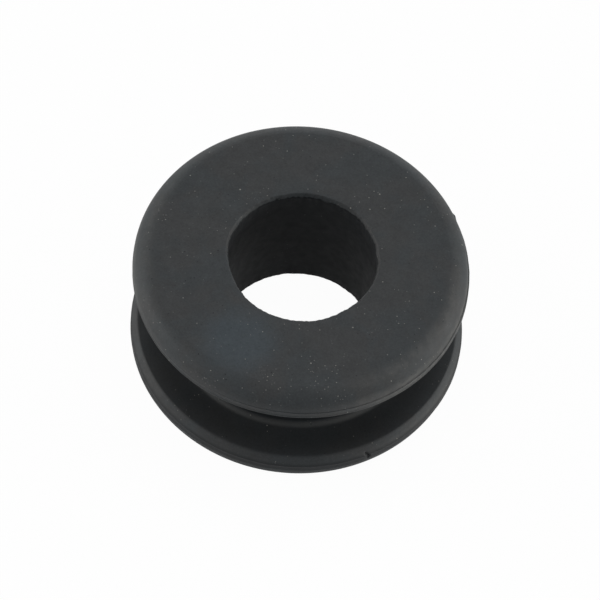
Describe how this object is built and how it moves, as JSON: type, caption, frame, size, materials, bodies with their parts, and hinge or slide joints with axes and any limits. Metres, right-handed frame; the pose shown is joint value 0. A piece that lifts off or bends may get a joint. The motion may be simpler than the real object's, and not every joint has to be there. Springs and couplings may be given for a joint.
{
  "type": "rubber grommet",
  "caption": "Round rubber grommet with two rounded flanges, a panel groove between them and a plain bore.",
  "frame": {"origin": "centre of the bore at the lower face, on which the grommet stands", "axes": "+Z along the bore axis, from the lower flange to the upper one"},
  "size_m": [0.018, 0.018, 0.0082],
  "materials": {
    "rubber": "satin"
  },
  "bodies": {
    "root": {"grommet": "rubber"}
  },
  "joints": []
}
